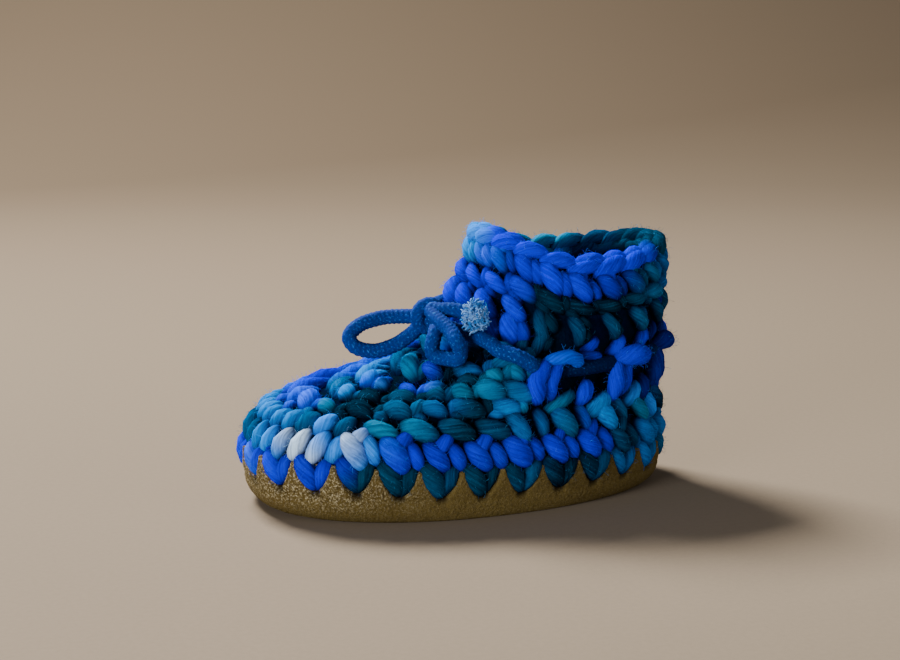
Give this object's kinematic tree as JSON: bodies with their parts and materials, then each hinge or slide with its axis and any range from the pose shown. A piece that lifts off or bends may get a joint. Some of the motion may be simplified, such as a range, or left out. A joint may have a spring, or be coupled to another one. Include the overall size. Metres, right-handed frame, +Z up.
{
  "type": "baby slipper",
  "caption": "Ankle-high baby slipper with a thick crocheted wool upper on a shallow suede sole, open at the collar, with a knitted cord round the ankle tied in a bow.",
  "frame": {"origin": "on the floor, under the middle of the slipper's box, measured without the cord", "axes": "+X towards the toe, +Y to the slipper's left, +Z up"},
  "size_m": [0.1163, 0.0702, 0.0664],
  "materials": {
    "suede": "tan suede with a short nap",
    "fleece": "natural wool fleece",
    "yarn": "thick hand-dyed wool in blues, teals and white",
    "cord": "knitted wool cord in mid blue"
  },
  "bodies": {
    "root": {"sole": "suede", "insole": "fleece", "upper": "yarn", "tie_band": "cord", "tie_knot": "cord", "tie_loop_toe": "cord", "tie_loop_side": "cord", "tie_end_left": "cord", "tie_end_right": "cord"}
  },
  "joints": []
}
